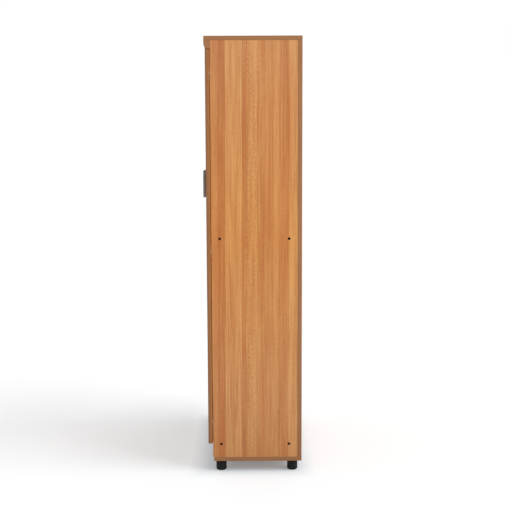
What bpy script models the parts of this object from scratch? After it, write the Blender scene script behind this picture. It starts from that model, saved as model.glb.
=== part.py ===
"""Two-door wardrobe in laminated board: every piece of it, in metres, +Z up.

The front faces -Y, and the origin is on the floor under the middle of the
object. Each piece is one object. The pieces that swing with a door hang on an
empty that stands on the line of that door's hinge pins.
"""

import math

import bmesh
import bpy
from mathutils import Matrix, Vector

# The case.
WIDTH = 0.800
HEIGHT = 1.900
SIDE_DEPTH = 0.374
BOARD = 0.018
SEAT = 0.0003
EDGE = 0.0006
DRILL_OUT = 0.001

# The base: round feet, a bottom board and a plinth under the lowest shelf.
FOOT_HEIGHT = 0.048
FOOT_RADIUS = 0.023
FOOT_ROUNDING = 0.006
FOOT_PEG_RADIUS = 0.005
FOOT_PEG_LENGTH = 0.0126
FOOT_FROM_SIDE = 0.036
FOOT_FROM_FRONT = 0.0353
FOOT_FROM_REAR = 0.0398
BASE_SETBACK = 0.004
PLINTH_HEIGHT = 0.0516
PLINTH_SETBACK = 0.022

# The top: its overhang and the cornice strip that hangs under it.
OVERHANG = 0.005
CORNICE_HEIGHT = 0.033
CORNICE_CHAMFER = 0.018

# The shelves. The mid and hat shelves are fixed, the other two lie on pins.
MID_ROOM = 0.8967
HAT_ROOM = 0.290
SHELF_SETBACK = 0.012
SHELF_PLAY = 0.001
PIN_RADIUS = 0.0024
PIN_REACH = 0.009
PIN_FROM_EDGE = 0.045
PIN_PITCH = 0.032

# The hanging rail.
RAIL_HEIGHT = 0.030
RAIL_THICK = 0.015
RAIL_WALL = 0.0014
RAIL_BELOW_SHELF = 0.065
SOCKET_DEPTH = 0.012
SOCKET_WALL = 0.003
SOCKET_PEG_RADIUS = 0.004
SOCKET_PEG_LENGTH = 0.009

# The doors.
DOOR_BOARD = 0.019
DOOR_ROUNDING = 0.005
DOOR_GAP = 0.0018
DOOR_REVEAL = 0.0015
DOOR_MEETING = 0.003
DOOR_TOP_GAP = 0.0015
DOOR_LAP = 0.0076
PAD_RADIUS = 0.0035
PAD_FROM_END = 0.060

# The hinges: a cup let into the door, a pin across it and a bent arm on a plate.
HINGE_FROM_END = 0.100
HINGE_BELOW_SHELF = 0.045
CUP_RADIUS = 0.0172
CUP_FROM_EDGE = 0.003
CUP_DEPTH = 0.015
CUP_WALL = 0.001
CUP_RIM = 0.0006
CUP_TAB_THICK = 0.0012
CUP_TAB_REACH = 0.030
CUP_TAB_WIDTH = 0.015
CUP_PEG_RADIUS = 0.0035
CUP_PEG_LENGTH = 0.0096
CUP_PEG_SPACING = 0.045
HINGE_PIN_RADIUS = 0.0012
LUG_THICK = 0.003
EYE_RADIUS = 0.0024
EYE_CLEAR = 0.0006
NECK_THICK = 0.0024
NECK_WIDTH = 0.008
NECK_CLEAR = 0.0034
NECK_BACK = 0.006
ARM_WIDTH = 0.014
ARM_LENGTH = 0.060
ARM_RISE = 0.0105
ARM_START = 0.009
ARM_SLOPE = 0.009
PLATE_THICK = 0.0025
PLATE_START = 0.020
PLATE_WIDTH = 0.016
PLATE_WING = 0.014
PLATE_REACH = 0.024
PLATE_LINE = 0.037
PLATE_PEG_RADIUS = 0.0025
PLATE_PEG_LENGTH = 0.0099
PLATE_PEG_SPACING = 0.032

# The handles: a straight bar on two posts, screwed through the door.
HANDLE_REACH = 0.0286
HANDLE_CENTRES = 0.096
HANDLE_OVERHANG = 0.0146
HANDLE_RADIUS = 0.006
HANDLE_ROUNDING = 0.0035
HANDLE_POST_RADIUS = 0.0048
HANDLE_FROM_EDGE = 0.0365
HANDLE_UP = 1.1312
HANDLE_SCREW_RADIUS = 0.002
HANDLE_SCREW_HEAD = 0.0039
HANDLE_SCREW_DOME = 0.0022
HANDLE_SCREW_BITE = 0.010

# The joining screws.
SCREW_HEAD_RADIUS = 0.0058
SCREW_HEAD_HEIGHT = 0.0018
SCREW_RADIUS = 0.0032
SCREW_LENGTH = 0.048
SCREW_SOCKET_RADIUS = 0.0023
SCREW_FROM_FRONT = 0.0366
SCREW_FROM_REAR = 0.038

# Planes that follow from the sizes above.
DEPTH = HANDLE_REACH + DOOR_BOARD + DOOR_GAP + SIDE_DEPTH + BOARD
REAR = DEPTH / 2
BACK_FACE = REAR - BOARD
FRONT = BACK_FACE - SIDE_DEPTH
DOOR_BACK = FRONT - DOOR_GAP
DOOR_FRONT = DOOR_BACK - DOOR_BOARD
TOP_FRONT = DOOR_FRONT - OVERHANG
HALF = WIDTH / 2
INNER = HALF - BOARD
TOP_UNDER = HEIGHT - BOARD
CORNICE_LOW = TOP_UNDER - CORNICE_HEIGHT
BASE_TOP = FOOT_HEIGHT + BOARD
LOW_SHELF = BASE_TOP + PLINTH_HEIGHT
LOW_SHELF_TOP = LOW_SHELF + BOARD
MID_SHELF = LOW_SHELF_TOP + MID_ROOM
HAT_SHELF = TOP_UNDER - HAT_ROOM - BOARD
DOOR_LOW = LOW_SHELF_TOP - DOOR_LAP
DOOR_HIGH = CORNICE_LOW - DOOR_TOP_GAP
DOOR_HEIGHT = DOOR_HIGH - DOOR_LOW
CUP_INSIDE = CUP_RADIUS - CUP_WALL
CUP_X = HALF - DOOR_REVEAL - CUP_FROM_EDGE - SEAT - CUP_RADIUS
HINGE_X = CUP_X + math.sqrt(CUP_INSIDE ** 2 - NECK_WIDTH ** 2 / 4) - EYE_RADIUS - SEAT
HINGE_Y = DOOR_BACK - CUP_DEPTH + CUP_WALL + EYE_CLEAR + EYE_RADIUS
HANDLE_X = DOOR_MEETING / 2 + HANDLE_FROM_EDGE
HANDLE_Z = DOOR_LOW + HANDLE_UP
HINGE_HEIGHTS = (DOOR_LOW + HINGE_FROM_END, MID_SHELF - HINGE_BELOW_SHELF, DOOR_HIGH - HINGE_FROM_END)
RIGHT, LEFT = 1, -1
SIDE_NAMES = {RIGHT: "right", LEFT: "left"}


def finish(name, colour, roughness, metallic=0.0):
    """One Principled BSDF material."""
    material = bpy.data.materials.new(name)
    material.use_nodes = True
    shader = material.node_tree.nodes["Principled BSDF"]
    shader.inputs["Base Color"].default_value = (*colour, 1.0)
    shader.inputs["Roughness"].default_value = roughness
    shader.inputs["Metallic"].default_value = metallic
    material.diffuse_color = (*colour, 1.0)
    return material


def keep(bm, name, material=None, smooth=False):
    """Turn a finished bmesh into a named object. With no material it is a cutter."""
    bmesh.ops.remove_doubles(bm, verts=bm.verts, dist=1e-6)
    bmesh.ops.recalc_face_normals(bm, faces=bm.faces)
    mesh = bpy.data.meshes.new(name)
    bm.to_mesh(mesh)
    bm.free()
    if smooth:
        mesh.shade_smooth()
        mesh.set_sharp_from_angle(angle=math.radians(35))
    piece = bpy.data.objects.new(name, mesh)
    bpy.context.scene.collection.objects.link(piece)
    if material is None:
        piece.hide_render = True
        piece.display_type = "WIRE"
    else:
        mesh.materials.append(material)
    return piece


def add_block(bm, low, high):
    """A box between two corners."""
    low, high = Vector(low), Vector(high)
    size = high - low
    place = Matrix.Translation((low + high) / 2) @ Matrix.Diagonal((*size, 1.0))
    return bmesh.ops.create_cube(bm, size=1.0, matrix=place)["verts"]


def add_turned(bm, profile, point, axis, steps):
    """A turned solid: (radius, distance) pairs spun round an axis from a point."""
    turn = Vector((0, 0, 1)).rotation_difference(Vector(axis)).to_matrix().to_4x4()
    verts = [bm.verts.new((radius, 0, along)) for radius, along in profile]
    edges = [bm.edges.new(pair) for pair in zip(verts, verts[1:])]
    bmesh.ops.spin(
        bm, geom=verts + edges, cent=(0, 0, 0), axis=(0, 0, 1),
        angle=math.tau, steps=steps, use_merge=True)
    linked = set(verts)
    reach = list(verts)
    while reach:
        for edge in reach.pop().link_edges:
            for vert in edge.verts:
                if vert not in linked:
                    linked.add(vert)
                    reach.append(vert)
    bmesh.ops.transform(bm, matrix=Matrix.Translation(point) @ turn, verts=list(linked))


def add_prism(bm, outline, place, low, high):
    """An outline of (a, b) pairs drawn out from low to high, set by place(a, b, c)."""
    face = bm.faces.new([bm.verts.new(place(a, b, low)) for a, b in outline])
    drawn = bmesh.ops.extrude_face_region(bm, geom=[face])
    moved = [item for item in drawn["geom"] if isinstance(item, bmesh.types.BMVert)]
    shift = place(0, 0, high) - place(0, 0, low)
    bmesh.ops.translate(bm, vec=shift, verts=moved)


def oval(width, height, steps):
    """A slot-shaped outline with round ends, upright, about its own middle."""
    radius = width / 2
    straight = height / 2 - radius
    points = []
    for end in (1, -1):
        for step in range(steps + 1):
            turn = math.pi * step / steps
            across = radius * math.cos(turn) * end
            points.append((across, (straight + radius * math.sin(turn)) * end))
    return points


def combine(target, tool, operation="DIFFERENCE"):
    """A boolean on target with a hidden tool."""
    step = target.modifiers.new(f"{operation.lower()} {tool.name}", "BOOLEAN")
    step.object = tool
    step.operation = operation
    step.solver = "EXACT"


def board(name, low, high, material):
    """A board with its long edges just broken."""
    bm = bmesh.new()
    add_block(bm, low, high)
    bmesh.ops.bevel(
        bm, geom=bm.edges[:], offset=EDGE, segments=1, affect="EDGES", profile=0.5)
    return keep(bm, name, material)


def door_leaf(name, side, material):
    """A door with its upright edges rounded, but for the one behind the meeting edge."""
    meeting = side * DOOR_MEETING / 2
    ends = sorted((meeting, side * (HALF - DOOR_REVEAL)))
    bm = bmesh.new()
    add_block(bm, (ends[0], DOOR_FRONT, DOOR_LOW), (ends[1], DOOR_BACK, DOOR_HIGH))
    padded = Vector((meeting, DOOR_BACK))
    rounded = []
    for edge in bm.edges:
        first, second = (vert.co for vert in edge.verts)
        if first.xy == second.xy and (first.xy - padded).length > SEAT:
            rounded.append(edge)
    bmesh.ops.bevel(
        bm, geom=rounded, offset=DOOR_ROUNDING, segments=4, affect="EDGES", profile=0.5)
    sharp = [edge for edge in bm.edges if edge.calc_face_angle() > math.radians(35)]
    bmesh.ops.bevel(bm, geom=sharp, offset=EDGE, segments=1, affect="EDGES", profile=0.5)
    return keep(bm, name, material, smooth=True)


def rod(radius, low, high):
    """The profile of a plain round rod."""
    return [(0, low), (radius, low), (radius, high), (0, high)]


def turned(name, profile, point, axis, steps, material=None):
    """A turned piece as an object of its own."""
    bm = bmesh.new()
    add_turned(bm, profile, point, axis, steps)
    return keep(bm, name, material, smooth=material is not None)


def bore(bm, point, axis, radius, depth, steps, head_radius=0.0, head_depth=0.0):
    """A drill, with a wider step for a screw head, into a face from outside."""
    profile = [(0, -DRILL_OUT)]
    if head_radius:
        profile += [(head_radius, -DRILL_OUT), (head_radius, head_depth), (radius, head_depth)]
    else:
        profile += [(radius, -DRILL_OUT)]
    profile += [(radius, depth), (0, depth)]
    add_turned(bm, profile, point, axis, steps)


def swing_with(empty, pieces):
    """Hang pieces on a door's empty without moving them."""
    for piece in pieces:
        piece.parent = empty
        piece.matrix_parent_inverse = Matrix.Translation(-empty.location)


def joining_screw(name, point, axis, material):
    """A joining screw whose head lies flush in the face at point."""
    profile = [
        (0, SEAT + SCREW_HEAD_HEIGHT / 2),
        (SCREW_SOCKET_RADIUS, SEAT + SCREW_HEAD_HEIGHT / 2),
        (SCREW_SOCKET_RADIUS, SEAT),
        (SCREW_HEAD_RADIUS, SEAT),
        (SCREW_HEAD_RADIUS, SCREW_HEAD_HEIGHT),
        (SCREW_RADIUS, SCREW_HEAD_HEIGHT),
        (SCREW_RADIUS, SCREW_LENGTH - SCREW_RADIUS),
        (SCREW_RADIUS / 2, SCREW_LENGTH),
        (0, SCREW_LENGTH),
    ]
    return turned(name, profile, point, axis, 12, material)


def build_case(laminate, edging):
    """The fixed boards, named by their place."""
    inner = INNER - SEAT
    rear = BACK_FACE - SEAT
    top = TOP_UNDER - SEAT
    base = BASE_TOP + SEAT
    half_board = BOARD / 2
    boards = {}
    spans = {
        "top_board": ((-HALF, TOP_FRONT, TOP_UNDER), (HALF, REAR, HEIGHT)),
        "bottom_board": ((-HALF, FRONT + BASE_SETBACK, FOOT_HEIGHT), (HALF, REAR, BASE_TOP)),
        "back_board": ((-HALF, BACK_FACE, base), (HALF, REAR, top)),
        "side_left": ((-HALF, FRONT, base), (-INNER, rear, top)),
        "side_right": ((INNER, FRONT, base), (HALF, rear, top)),
        "plinth": (
            (-inner, FRONT + PLINTH_SETBACK, base),
            (inner, FRONT + PLINTH_SETBACK + BOARD, LOW_SHELF - SEAT)),
        "bottom_shelf": ((-inner, FRONT, LOW_SHELF), (inner, rear, LOW_SHELF_TOP)),
        "divider": (
            (-half_board, FRONT, LOW_SHELF_TOP + SEAT), (half_board, rear, top)),
        "mid_shelf": (
            (half_board + SEAT, FRONT + SHELF_SETBACK, MID_SHELF),
            (inner, rear, MID_SHELF + BOARD)),
        "hat_shelf": (
            (-inner, FRONT + SHELF_SETBACK, HAT_SHELF),
            (-half_board - SEAT, rear, HAT_SHELF + BOARD)),
    }
    for name, (low, high) in spans.items():
        boards[name] = board(name, low, high, laminate)
    bm = bmesh.new()
    outline = [
        (TOP_FRONT, top),
        (FRONT - SEAT, top),
        (FRONT - SEAT, CORNICE_LOW),
        (DOOR_FRONT, CORNICE_LOW),
        (TOP_FRONT, CORNICE_LOW + CORNICE_CHAMFER),
    ]
    add_prism(bm, outline, lambda y, z, x: Vector((x, y, z)), -HALF, HALF)
    boards["cornice"] = keep(bm, "cornice", edging)
    return boards


def build_loose_shelves(laminate, steel, boards):
    """The two shelves that lie on pins in the right-hand room."""
    holes = bmesh.new()
    rooms = {
        "shelf_lower": (LOW_SHELF_TOP, MID_SHELF),
        "shelf_upper": (MID_SHELF + BOARD, TOP_UNDER),
    }
    near, far = BOARD / 2, INNER
    front = FRONT + SHELF_SETBACK
    rear = BACK_FACE - SHELF_PLAY
    for name, (low, high) in rooms.items():
        under = (low + high - BOARD) / 2
        board(name, (near + SHELF_PLAY, front, under), (far - SHELF_PLAY, rear, under + BOARD), laminate)
        pin_z = under - SEAT - PIN_RADIUS
        profile = rod(PIN_RADIUS, -PIN_REACH, PIN_REACH - SEAT)
        number = 0
        for x, axis in ((near, (-1, 0, 0)), (far, (1, 0, 0))):
            for y in (front + PIN_FROM_EDGE, rear - PIN_FROM_EDGE):
                number += 1
                point = (x, y, pin_z)
                turned(f"{name}_pin_{number}", profile, point, axis, 10, steel)
                for row in (-1, 0, 1):
                    hole = (x, y, pin_z + row * PIN_PITCH)
                    bore(holes, hole, axis, PIN_RADIUS + SEAT, PIN_REACH, 10)
    tool = keep(holes, "shelf_pin_holes")
    combine(boards["divider"], tool)
    combine(boards["side_right"], tool)


def build_joining_screws(steel, boards):
    """The screws through the side panels into the fixed shelves."""
    rows = {
        RIGHT: {"bottom_shelf": LOW_SHELF + BOARD / 2, "mid_shelf": MID_SHELF + BOARD / 2},
        LEFT: {"bottom_shelf": LOW_SHELF + BOARD / 2, "hat_shelf": HAT_SHELF + BOARD / 2},
    }
    places = {"front": FRONT + SCREW_FROM_FRONT, "rear": BACK_FACE - SCREW_FROM_REAR}
    for side, shelves in rows.items():
        holes = bmesh.new()
        axis = (-side, 0, 0)
        for shelf, z in shelves.items():
            for place, y in places.items():
                point = (side * HALF, y, z)
                name = f"screw_{SIDE_NAMES[side]}_{shelf}_{place}"
                joining_screw(name, point, axis, steel)
                bore(
                    holes, point, axis, SCREW_RADIUS + SEAT, SCREW_LENGTH + SEAT, 12,
                    SCREW_HEAD_RADIUS + SEAT, SCREW_HEAD_HEIGHT + SEAT)
        tool = keep(holes, f"screw_holes_{SIDE_NAMES[side]}")
        combine(boards[f"side_{SIDE_NAMES[side]}"], tool)
        for shelf in shelves:
            combine(boards[shelf], tool)


def build_feet(plastic, boards):
    """Four round feet with a peg on top that fits a hole in the bottom board."""
    top = FOOT_HEIGHT - SEAT
    peg_top = FOOT_HEIGHT + FOOT_PEG_LENGTH
    profile = [(0, 0)]
    for step in range(4):
        turn = math.pi / 2 * step / 3
        out = FOOT_RADIUS - FOOT_ROUNDING * (1 - math.sin(turn))
        profile.append((out, FOOT_ROUNDING * (1 - math.cos(turn))))
    profile += [(FOOT_RADIUS, top), (FOOT_PEG_RADIUS, top), (FOOT_PEG_RADIUS, peg_top), (0, peg_top)]
    holes = bmesh.new()
    rows = {"front": FRONT + FOOT_FROM_FRONT, "rear": REAR - FOOT_FROM_REAR}
    for row, y in rows.items():
        for side, side_name in SIDE_NAMES.items():
            x = side * (HALF - FOOT_FROM_SIDE)
            turned(f"foot_{row}_{side_name}", profile, (x, y, 0), (0, 0, 1), 20, plastic)
            point = (x, y, FOOT_HEIGHT)
            bore(holes, point, (0, 0, 1), FOOT_PEG_RADIUS + SEAT, FOOT_PEG_LENGTH + SEAT, 20)
    combine(boards["bottom_board"], keep(holes, "foot_peg_holes"))


def build_rail(steel, boards):
    """The oval hanging rail of the left-hand room, in a socket at each end."""
    z = HAT_SHELF - RAIL_BELOW_SHELF
    y = (FRONT + BACK_FACE) / 2

    def place(across, up, x):
        return Vector((x, y + across, z + up))

    ends = {"left": (-INNER, 1), "middle": (-BOARD / 2, -1)}
    holes = bmesh.new()
    for name, (face, inward) in ends.items():
        start = face + inward * SEAT
        mouth = face + inward * SOCKET_DEPTH
        floor = face + inward * SOCKET_WALL
        bm = bmesh.new()
        shape = oval(RAIL_THICK + 2 * SOCKET_WALL, RAIL_HEIGHT + 2 * SOCKET_WALL, 8)
        add_prism(bm, shape, place, start, mouth)
        socket = keep(bm, f"rail_socket_{name}", steel, smooth=True)
        bm = bmesh.new()
        shape = oval(RAIL_THICK + 2 * SEAT, RAIL_HEIGHT + 2 * SEAT, 8)
        add_prism(bm, shape, place, floor, mouth + inward * SEAT)
        combine(socket, keep(bm, f"rail_pocket_{name}"))
        peg = rod(SOCKET_PEG_RADIUS, -SOCKET_WALL / 2, SOCKET_PEG_LENGTH)
        combine(socket, turned(f"rail_peg_{name}", peg, (face, y, z), (-inward, 0, 0), 12), "UNION")
        bore(holes, (face, y, z), (-inward, 0, 0), SOCKET_PEG_RADIUS + SEAT, SOCKET_PEG_LENGTH + SEAT, 12)
    tool = keep(holes, "rail_peg_holes")
    combine(boards["side_left"], tool)
    combine(boards["divider"], tool)
    low = ends["left"][0] + SOCKET_WALL + SEAT
    high = ends["middle"][0] - SOCKET_WALL - SEAT
    bm = bmesh.new()
    add_prism(bm, oval(RAIL_THICK, RAIL_HEIGHT, 8), place, low, high)
    rail = keep(bm, "hanging_rail", steel, smooth=True)
    bm = bmesh.new()
    shape = oval(RAIL_THICK - 2 * RAIL_WALL, RAIL_HEIGHT - 2 * RAIL_WALL, 8)
    add_prism(bm, shape, place, low - SEAT, high + SEAT)
    combine(rail, keep(bm, "rail_bore"))


def hinge_frame(side):
    """Maps (in from the side panel's outer face, forward of its edge, up) to the world."""
    def place(inward, forward, up):
        return Vector((side * (HALF - inward), FRONT - forward, up))
    return place


def build_cup(name, side, height, steel):
    """A hinge cup: bowl, two tabs with pegs, and the pin across it in two lugs."""
    into = (0, -1, 0)
    centre = Vector((side * CUP_X, DOOR_BACK, height))
    floor = CUP_DEPTH - CUP_WALL
    bowl = [
        (0, floor), (CUP_INSIDE, floor), (CUP_INSIDE, -CUP_RIM), (CUP_RADIUS, -CUP_RIM),
        (CUP_RADIUS, CUP_DEPTH), (0, CUP_DEPTH)]
    cup = turned(name, bowl, centre, into, 24, steel)
    half = CUP_TAB_WIDTH / 2
    root = CUP_INSIDE + SEAT
    corner = CUP_TAB_REACH - half / 2
    outline = [
        (-half, root), (half, root), (half, corner), (half / 2, CUP_TAB_REACH),
        (-half / 2, CUP_TAB_REACH), (-half, corner)]
    tab_low = DOOR_BACK + SEAT
    tab_high = DOOR_BACK + SEAT + CUP_TAB_THICK
    lug_near = NECK_WIDTH / 2 + 2 * SEAT
    lug_far = lug_near + LUG_THICK
    lug_floor = DOOR_BACK - CUP_DEPTH + CUP_WALL / 2
    lug_x = sorted((side * (HINGE_X - EYE_RADIUS), side * (HINGE_X + EYE_RADIUS * 0.75)))
    for end, word in ((1, "upper"), (-1, "lower")):
        bm = bmesh.new()
        add_prism(
            bm, outline, lambda a, b, c: Vector((centre.x + a, c, height + b * end)), tab_low, tab_high)
        combine(cup, keep(bm, f"{name}_{word}_tab"), "UNION")
        peg = rod(CUP_PEG_RADIUS, -SEAT - CUP_TAB_THICK / 2, CUP_PEG_LENGTH)
        point = centre + Vector((0, 0, end * CUP_PEG_SPACING / 2))
        combine(cup, turned(f"{name}_{word}_peg", peg, point, into, 10), "UNION")
        bm = bmesh.new()
        lug_z = sorted((height + end * lug_near, height + end * lug_far))
        add_block(bm, (lug_x[0], lug_floor, lug_z[0]), (lug_x[1], HINGE_Y + EYE_RADIUS, lug_z[1]))
        combine(cup, keep(bm, f"{name}_{word}_lug"), "UNION")
    reach = lug_far - LUG_THICK * 0.2
    point = (side * HINGE_X, HINGE_Y, height)
    pin = turned(f"{name}_pin", rod(HINGE_PIN_RADIUS, -reach, reach), point, (0, 0, 1), 10)
    combine(cup, pin, "UNION")
    return cup


def cup_bores(bm, side, height):
    """The cup's recess and peg holes in the back of a door."""
    into = (0, -1, 0)
    centre = Vector((side * CUP_X, DOOR_BACK, height))
    bore(bm, centre, into, CUP_RADIUS + SEAT, CUP_DEPTH + SEAT, 24)
    for end in (1, -1):
        point = centre + Vector((0, 0, end * CUP_PEG_SPACING / 2))
        bore(bm, point, into, CUP_PEG_RADIUS + SEAT, CUP_PEG_LENGTH + SEAT, 10)


def build_arm(name, side, height, steel):
    """A hinge arm: eye round the pin, neck bent past the door's edge, arm and plate."""
    place = hinge_frame(side)
    eye_in = HALF - HINGE_X
    eye_out = FRONT - HINGE_Y
    half = NECK_THICK / 2
    bend = BOARD + NECK_CLEAR
    plate_low = BOARD + SEAT
    low = plate_low + PLATE_THICK
    high = BOARD + ARM_RISE
    root = low - SEAT
    start = math.asin(half / EYE_RADIUS)
    steps = 12
    outline = []
    for step in range(steps + 1):
        turn = start + (math.tau - 2 * start) * step / steps
        outline.append((eye_in + EYE_RADIUS * math.cos(turn), eye_out + EYE_RADIUS * math.sin(turn)))
    outline += [
        (bend, eye_out - half), (bend, -NECK_BACK), (low, -ARM_START), (low, -ARM_START - NECK_THICK),
        (low + NECK_THICK, -ARM_START - NECK_THICK), (bend + NECK_THICK, half - NECK_BACK),
        (bend + NECK_THICK, eye_out - half), (bend + half, eye_out + half),
    ]
    bm = bmesh.new()
    add_prism(bm, outline, place, height - NECK_WIDTH / 2, height + NECK_WIDTH / 2)
    arm = keep(bm, name, steel, smooth=True)
    body = [
        (root, -ARM_START - SEAT), (low + half, -ARM_START), (high, -ARM_START - ARM_SLOPE),
        (high, NECK_THICK - ARM_LENGTH), (high - half, -ARM_LENGTH), (root, -ARM_LENGTH)]
    bm = bmesh.new()
    add_prism(bm, body, place, height - ARM_WIDTH / 2, height + ARM_WIDTH / 2)
    combine(arm, keep(bm, f"{name}_body"), "UNION")
    across = PLATE_WIDTH / 2
    wing = PLATE_WING / 2
    tail = NECK_THICK - ARM_LENGTH
    upper = [
        (-PLATE_START, across), (wing - PLATE_LINE, across), (wing - PLATE_LINE, PLATE_REACH),
        (-wing - PLATE_LINE, PLATE_REACH), (-wing - PLATE_LINE, across), (tail, across)]
    plate = upper + [(along, -up) for along, up in reversed(upper)]
    bm = bmesh.new()
    add_prism(bm, plate, lambda a, b, c: place(c, a, height + b), plate_low, low)
    combine(arm, keep(bm, f"{name}_plate"), "UNION")
    peg = rod(PLATE_PEG_RADIUS, -SEAT - PLATE_THICK / 2, PLATE_PEG_LENGTH)
    for end, word in ((1, "upper"), (-1, "lower")):
        point = place(BOARD, -PLATE_LINE, height + end * PLATE_PEG_SPACING / 2)
        combine(arm, turned(f"{name}_{word}_peg", peg, point, (side, 0, 0), 10), "UNION")
    hole = rod(HINGE_PIN_RADIUS + SEAT, -NECK_WIDTH, NECK_WIDTH)
    point = (side * HINGE_X, HINGE_Y, height)
    combine(arm, turned(f"{name}_eye", hole, point, (0, 0, 1), 10))
    return arm


def build_handle(name, side, steel):
    """A bar on two posts, each drilled for its screw."""
    axis_y = DOOR_FRONT - HANDLE_REACH + HANDLE_RADIUS
    x = side * HANDLE_X
    half = HANDLE_CENTRES / 2 + HANDLE_OVERHANG
    end = []
    for step in range(4):
        turn = math.pi / 2 * step / 3
        out = HANDLE_RADIUS - HANDLE_ROUNDING * (1 - math.sin(turn))
        end.append((out, half - HANDLE_ROUNDING * (1 - math.cos(turn))))
    profile = [(0, half)] + end + [(out, -z) for out, z in reversed(end)] + [(0, -half)]
    bar = turned(name, profile, (x, axis_y, HANDLE_Z), (0, 0, 1), 16, steel)
    length = DOOR_FRONT - SEAT - axis_y
    post = rod(HANDLE_POST_RADIUS, 0, length)
    for place, word in ((1, "upper"), (-1, "lower")):
        point = (x, DOOR_FRONT - SEAT, HANDLE_Z + place * HANDLE_CENTRES / 2)
        combine(bar, turned(f"{name}_{word}_post", post, point, (0, -1, 0), 16), "UNION")
        bm = bmesh.new()
        bore(bm, point, (0, -1, 0), HANDLE_SCREW_RADIUS + SEAT, HANDLE_SCREW_BITE + 2 * SEAT, 10)
        combine(bar, keep(bm, f"{name}_{word}_bore"))
    return bar


def build_handle_screws(side, steel, holes):
    """The two screws that hold a handle, with their heads inside the door."""
    screws = []
    length = DOOR_BOARD + HANDLE_SCREW_BITE
    radius = HANDLE_SCREW_RADIUS
    head = HANDLE_SCREW_HEAD
    profile = [
        (0, -HANDLE_SCREW_DOME), (head / 2, -HANDLE_SCREW_DOME), (head, -HANDLE_SCREW_DOME / 2),
        (head, -SEAT), (radius, -SEAT), (radius, length), (0, length)]
    for place, word in ((1, "upper"), (-1, "lower")):
        point = (side * HANDLE_X, DOOR_BACK, HANDLE_Z + place * HANDLE_CENTRES / 2)
        name = f"handle_screw_{SIDE_NAMES[side]}_{word}"
        screws.append(turned(name, profile, point, (0, -1, 0), 10, steel))
        bore(holes, point, (0, -1, 0), radius + SEAT, DOOR_BOARD + DRILL_OUT, 10)
    return screws


def build_door(side, laminate, steel, nickel, rubber, boards):
    """A door with its handle, cups and pads, and the arms that hold it to the case."""
    name = SIDE_NAMES[side]
    empty = bpy.data.objects.new(f"door_{name}_hinge_line", None)
    empty.location = (side * HINGE_X, HINGE_Y, DOOR_LOW + DOOR_HEIGHT / 2)
    bpy.context.scene.collection.objects.link(empty)
    door = door_leaf(f"door_{name}", side, laminate)
    holes = bmesh.new()
    swinging = [door, build_handle(f"handle_{name}", side, nickel)]
    swinging += build_handle_screws(side, steel, holes)
    pegs = bmesh.new()
    for number, height in enumerate(HINGE_HEIGHTS, start=1):
        swinging.append(build_cup(f"hinge_cup_{name}_{number}", side, height, steel))
        cup_bores(holes, side, height)
        build_arm(f"hinge_arm_{name}_{number}", side, height, steel)
        for end in (1, -1):
            point = (side * INNER, FRONT + PLATE_LINE, height + end * PLATE_PEG_SPACING / 2)
            bore(pegs, point, (side, 0, 0), PLATE_PEG_RADIUS + SEAT, PLATE_PEG_LENGTH + SEAT, 10)
    combine(door, keep(holes, f"door_{name}_holes"))
    combine(boards[f"side_{name}"], keep(pegs, f"hinge_peg_holes_{name}"))
    thick = DOOR_GAP - SEAT
    pad = [
        (0, -thick), (PAD_RADIUS - SEAT, -thick), (PAD_RADIUS, SEAT - thick),
        (PAD_RADIUS, -SEAT), (0, -SEAT)]
    pad_x = side * (DOOR_MEETING / 2 + PAD_RADIUS + SEAT)
    for place, z in (("lower", DOOR_LOW + PAD_FROM_END), ("upper", DOOR_HIGH - PAD_FROM_END)):
        point = (pad_x, DOOR_BACK, z)
        swinging.append(turned(f"door_pad_{name}_{place}", pad, point, (0, -1, 0), 12, rubber))
    swing_with(empty, swinging)


def main():
    """Clear the scene and build the wardrobe."""
    for old in list(bpy.data.objects):
        bpy.data.objects.remove(old, do_unlink=True)
    laminate = finish("wood_laminate", (0.60, 0.26, 0.09), 0.45)
    edging = finish("brown_edging", (0.39, 0.17, 0.075), 0.5)
    steel = finish("zinc_steel", (0.55, 0.55, 0.56), 0.35, 1.0)
    nickel = finish("brushed_nickel", (0.24, 0.23, 0.23), 0.45, 0.8)
    plastic = finish("black_plastic", (0.012, 0.012, 0.013), 0.5)
    rubber = finish("clear_pad", (0.75, 0.75, 0.72), 0.6)
    bronze = finish("dark_screw", (0.08, 0.05, 0.04), 0.4, 1.0)
    boards = build_case(laminate, edging)
    build_loose_shelves(laminate, steel, boards)
    build_joining_screws(bronze, boards)
    build_feet(plastic, boards)
    build_rail(steel, boards)
    for side in (RIGHT, LEFT):
        build_door(side, laminate, steel, nickel, rubber, boards)


main()
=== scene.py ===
"""Looks of the two-door wardrobe: board decor, edging, fittings, light and camera.

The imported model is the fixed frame, in metres, with the front towards -Y. The
boards are copied from it and dressed face by face, the small fixings are set
out by geometry nodes, and every piece rides on the body that carries it.
"""

import logging
import math
from dataclasses import dataclass
from enum import Enum
from typing import Iterable, Mapping, Sequence, Union

import bmesh
import bpy
from mathutils import Matrix, Vector


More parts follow.
